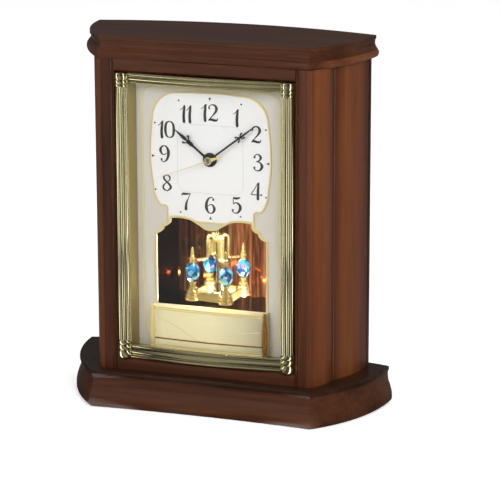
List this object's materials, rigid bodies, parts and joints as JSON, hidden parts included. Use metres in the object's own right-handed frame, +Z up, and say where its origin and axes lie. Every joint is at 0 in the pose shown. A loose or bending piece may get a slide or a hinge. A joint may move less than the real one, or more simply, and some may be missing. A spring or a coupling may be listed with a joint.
{
  "type": "mantel clock",
  "caption": "Bowed wooden mantel clock with fluted brass columns, a glazed barrel dial and a turning pendulum in a mirrored chamber.",
  "frame": {"origin": "centre of the box round the clock, at the felt pads' undersides", "axes": "+X to the right of the dial as one reads it, -Y towards the reader, +Z up"},
  "size_m": [0.267, 0.1094, 0.3],
  "materials": {
    "lacquered_wood": "gloss lacquer",
    "back_board": "satin",
    "felt": "matte",
    "steel": "bright",
    "polished_brass": "polished",
    "satin_gold": "satin",
    "clear_glass": "clear",
    "champagne_panel": "satin",
    "white_dial": "matte",
    "mirror": "tinted",
    "dark_board": "matte",
    "black_hand": "gloss",
    "wheel_brass": "satin",
    "movement_plastic": "matte",
    "circuit_green": "satin",
    "battery_jacket": "gloss",
    "blue_crystal": "faceted"
  },
  "bodies": {
    "case": {"plinth_base": "lacquered_wood", "plinth_cap": "lacquered_wood", "top_board": "lacquered_wood", "cornice_bead": "lacquered_wood", "left_side_panel": "lacquered_wood", "right_side_panel": "lacquered_wood", "left_stile": "lacquered_wood", "right_stile": "lacquered_wood", "head_rail": "lacquered_wood", "foot_rail": "lacquered_wood", "back_panel": "back_board", "felt_pads": "felt", "back_panel_screws": "steel", "battery_contacts": "steel", "motor_coil": "steel", "left_column": "polished_brass", "right_column": "polished_brass", "bezel_top_rail": "polished_brass", "bezel_bottom_rail": "polished_brass", "fixed_hinge_leaves": "polished_brass", "window_trim": "polished_brass", "dial_border": "polished_brass", "left_liner": "satin_gold", "right_liner": "satin_gold", "liner_strips": "satin_gold", "apron": "satin_gold", "front_glass": "clear_glass", "dial_panel": "champagne_panel", "dial_plate": "white_dial", "chamber_side_mirrors": "mirror", "chamber_floor": "mirror", "chamber_back_mirror": "mirror", "chamber_ceiling": "dark_board", "movement_nut": "movement_plastic", "movement_case": "movement_plastic", "movement_cover": "movement_plastic", "drive_case": "movement_plastic", "circuit_board": "circuit_green", "battery": "battery_jacket"},
    "minute_arbor": {"cannon_pinion": "wheel_brass", "minute_hand": "black_hand"},
    "hour_arbor": {"hour_wheel": "wheel_brass", "hour_hand": "black_hand"},
    "setting_arbor": {"minute_wheel": "wheel_brass", "set_knob": "movement_plastic"},
    "rotor_arbor": {"rotor": "steel"},
    "intermediate_arbor": {"intermediate_wheel": "wheel_brass"},
    "second_arbor": {"second_wheel": "wheel_brass", "second_hand": "polished_brass"},
    "third_arbor": {"third_wheel": "wheel_brass"},
    "centre_ring": {"centre_wheel": "wheel_brass"},
    "pendulum": {"pendulum_spindle": "polished_brass", "pendulum_crown": "polished_brass", "pendulum_posts": "polished_brass", "pendulum_crystals": "blue_crystal", "pendulum_frame": "polished_brass"},
    "drive_rotor": {"drive_pinion": "wheel_brass"},
    "door": {"rear_door": "back_board", "door_hinge_leaves": "polished_brass"},
    "catch": {"door_catch": "polished_brass"}
  },
  "joints": [
    {"name": "minute_turn", "type": "hinge", "parent": "case", "child": "minute_arbor", "pos_m": [0, -0.02, 0.2042], "axis": [0, 1, 0], "continuous": true},
    {"name": "hour_turn", "type": "hinge", "parent": "case", "child": "hour_arbor", "pos_m": [0, -0.02, 0.2042], "axis": [0, 1, 0], "continuous": true},
    {"name": "setting_turn", "type": "hinge", "parent": "case", "child": "setting_arbor", "pos_m": [0.012, 0, 0.2042], "axis": [0, 1, 0], "continuous": true},
    {"name": "rotor_spin", "type": "hinge", "parent": "case", "child": "rotor_arbor", "pos_m": [-0.01678, -0.01, 0.19642], "axis": [0, 1, 0], "continuous": true},
    {"name": "intermediate_turn", "type": "hinge", "parent": "case", "child": "intermediate_arbor", "pos_m": [-0.00778, -0.01, 0.19642], "axis": [0, 1, 0], "continuous": true},
    {"name": "second_turn", "type": "hinge", "parent": "case", "child": "second_arbor", "pos_m": [0, -0.01, 0.2042], "axis": [0, 1, 0], "continuous": true},
    {"name": "third_turn", "type": "hinge", "parent": "case", "child": "third_arbor", "pos_m": [0, -0.01, 0.215], "axis": [0, 1, 0], "continuous": true},
    {"name": "centre_wheel_turn", "type": "hinge", "parent": "case", "child": "centre_ring", "pos_m": [0, -0.013, 0.2042], "axis": [0, 1, 0], "continuous": true},
    {"name": "pendulum_turn", "type": "hinge", "parent": "case", "child": "pendulum", "pos_m": [0, -0.00645, 0.12], "axis": [0, 0, 1], "continuous": true},
    {"name": "drive_spin", "type": "hinge", "parent": "case", "child": "drive_rotor", "pos_m": [0.0105, -0.00645, 0.16], "axis": [0, 0, 1], "continuous": true},
    {"name": "door_swing", "type": "hinge", "parent": "case", "child": "door", "pos_m": [-0.05, 0.03735, 0.205], "axis": [0, 0, 1], "range_deg": [0, 110]},
    {"name": "catch_turn", "type": "hinge", "parent": "case", "child": "catch", "pos_m": [0.055, 0.036, 0.205], "axis": [0, 1, 0], "range_deg": [-90, 0]}
  ],
  "couplings": [
    {"joint": "hour_turn", "follows": "minute_turn", "ratio": 0.083333},
    {"joint": "setting_turn", "follows": "minute_turn", "ratio": -0.33333},
    {"joint": "intermediate_turn", "follows": "rotor_spin", "ratio": -0.2},
    {"joint": "second_turn", "follows": "rotor_spin", "ratio": 0.033333},
    {"joint": "third_turn", "follows": "rotor_spin", "ratio": -0.0044444},
    {"joint": "centre_wheel_turn", "follows": "rotor_spin", "ratio": 0.00055556},
    {"joint": "drive_spin", "follows": "pendulum_turn", "ratio": -4}
  ]
}
